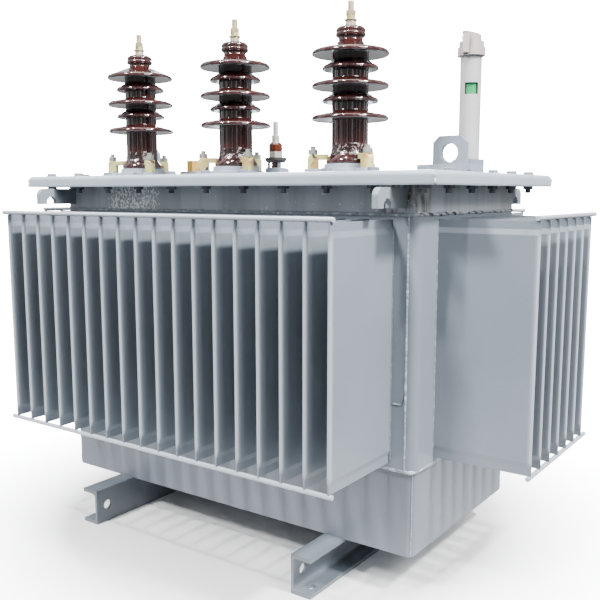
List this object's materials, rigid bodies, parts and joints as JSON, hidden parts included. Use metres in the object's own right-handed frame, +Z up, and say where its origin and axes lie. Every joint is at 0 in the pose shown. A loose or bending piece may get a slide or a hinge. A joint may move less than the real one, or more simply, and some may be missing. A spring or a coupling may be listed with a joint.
{
  "type": "distribution transformer",
  "caption": "Oil-filled distribution transformer: finned steel tank on channel skids, pan cover with porcelain bushings, oil gauge and lifting lugs.",
  "frame": {"origin": "on the ground under the middle of the assembly's box", "axes": "+X along the tank, -Y out of the front fins under the high-voltage bushings, +Z up"},
  "size_m": [1.344, 0.87, 1.125],
  "materials": {
    "tank_paint": "satin blue-grey enamel over welded steel",
    "channel_paint": "satin blue-grey enamel over rolled steel",
    "brown_porcelain": "gloss red-brown glaze",
    "zinc_clamp": "yellow zinc plating",
    "brass_terminal": "plain machined",
    "rubber_ring": "moulded",
    "gauge_plastic": "moulded",
    "gauge_glass": "green glass behind a cut-out"
  },
  "bodies": {
    "root": {"base_channel_left": "channel_paint", "base_channel_right": "channel_paint", "tank_floor": "tank_paint", "lower_front_wall": "tank_paint", "lower_rear_wall": "tank_paint", "lower_left_end": "tank_paint", "lower_right_end": "tank_paint", "front_fin_wall": "tank_paint", "rear_fin_wall": "tank_paint", "left_fin_end": "tank_paint", "right_fin_end": "tank_paint", "front_fin_rods": "tank_paint", "rear_fin_rods": "tank_paint", "left_fin_rods": "tank_paint", "right_fin_rods": "tank_paint", "tank_neck": "tank_paint", "tank_flange": "tank_paint", "cover": "tank_paint", "front_left_hook": "tank_paint", "front_right_hook": "tank_paint", "rear_left_hook": "tank_paint", "rear_right_hook": "tank_paint", "lug_bases": "tank_paint", "cover_lugs": "tank_paint", "hv_base_1": "tank_paint", "hv_base_2": "tank_paint", "hv_base_3": "tank_paint", "hv_porcelain_1": "brown_porcelain", "hv_porcelain_2": "brown_porcelain", "hv_porcelain_3": "brown_porcelain", "hv_clamps_1": "zinc_clamp", "hv_clamps_2": "zinc_clamp", "hv_clamps_3": "zinc_clamp", "hv_terminal_1": "brass_terminal", "hv_terminal_2": "brass_terminal", "hv_terminal_3": "brass_terminal", "neutral_base": "tank_paint", "neutral_porcelain": "brown_porcelain", "neutral_ring": "rubber_ring", "neutral_terminal": "brass_terminal", "gauge_flange": "tank_paint", "gauge_tube": "gauge_plastic", "gauge_window": "gauge_glass", "gauge_cap": "gauge_plastic", "relief_plug": "brass_terminal"}
  },
  "joints": []
}
